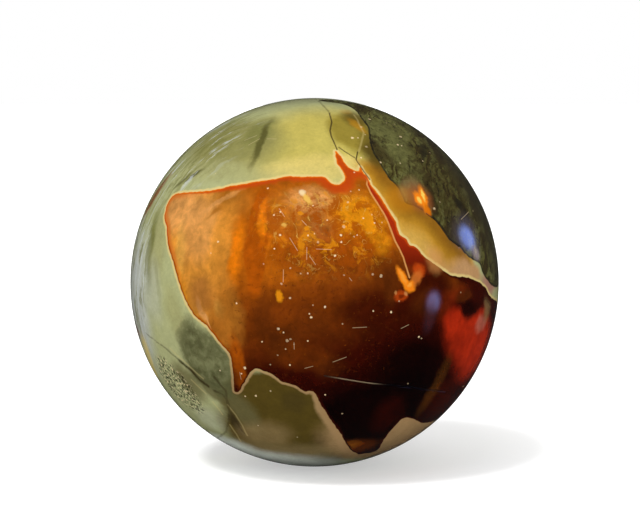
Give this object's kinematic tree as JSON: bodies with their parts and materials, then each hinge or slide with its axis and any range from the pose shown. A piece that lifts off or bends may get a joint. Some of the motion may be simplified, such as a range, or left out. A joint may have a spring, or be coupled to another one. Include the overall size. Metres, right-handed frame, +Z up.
{
  "type": "polished jasper sphere",
  "caption": "Solid ball ground and polished from one piece of many-coloured jasper, with fine open cracks and a small pitted pocket.",
  "frame": {"origin": "middle of the ball", "axes": "+Z up, the patterned face looks along -Y, +X to that face's right"},
  "size_m": [0.07, 0.07, 0.07],
  "materials": {
    "jasper": "polished to a high gloss; golden amber, red, cream and olive fields, with white flecks"
  },
  "bodies": {
    "root": {"ball": "jasper"}
  },
  "joints": []
}
